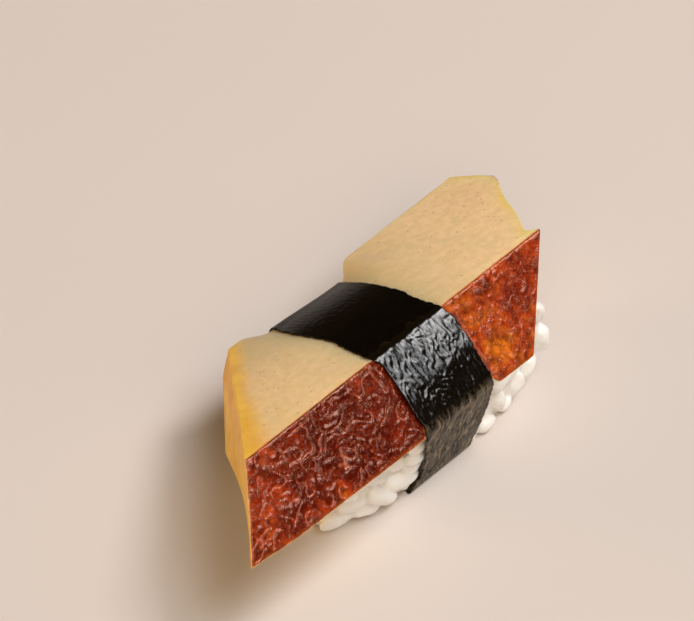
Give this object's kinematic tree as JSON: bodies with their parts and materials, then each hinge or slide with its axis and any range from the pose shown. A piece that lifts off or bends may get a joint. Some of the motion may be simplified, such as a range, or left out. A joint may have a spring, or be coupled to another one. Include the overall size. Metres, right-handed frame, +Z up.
{
  "type": "tamago nigiri",
  "caption": "Omelette nigiri: a leaning slab of sweet omelette with a browned crust edge on a finger of rice, held by a nori band.",
  "frame": {"origin": "middle of the whole piece's footprint, on the table", "axes": "+X along the omelette slab to its right end, +Y across it to its lower far side, +Z up from the table"},
  "size_m": [0.0974, 0.041, 0.0286],
  "materials": {
    "omelette": "moist cut omelette, soft satin with fine pores",
    "crust": "browned, glossy and finely wrinkled",
    "rice": "moist translucent white grains",
    "nori": "near-black toasted seaweed with a fibrous sheen"
  },
  "bodies": {
    "root": {"omelette": "omelette", "rice": "rice", "nori_band": "nori"}
  },
  "joints": []
}
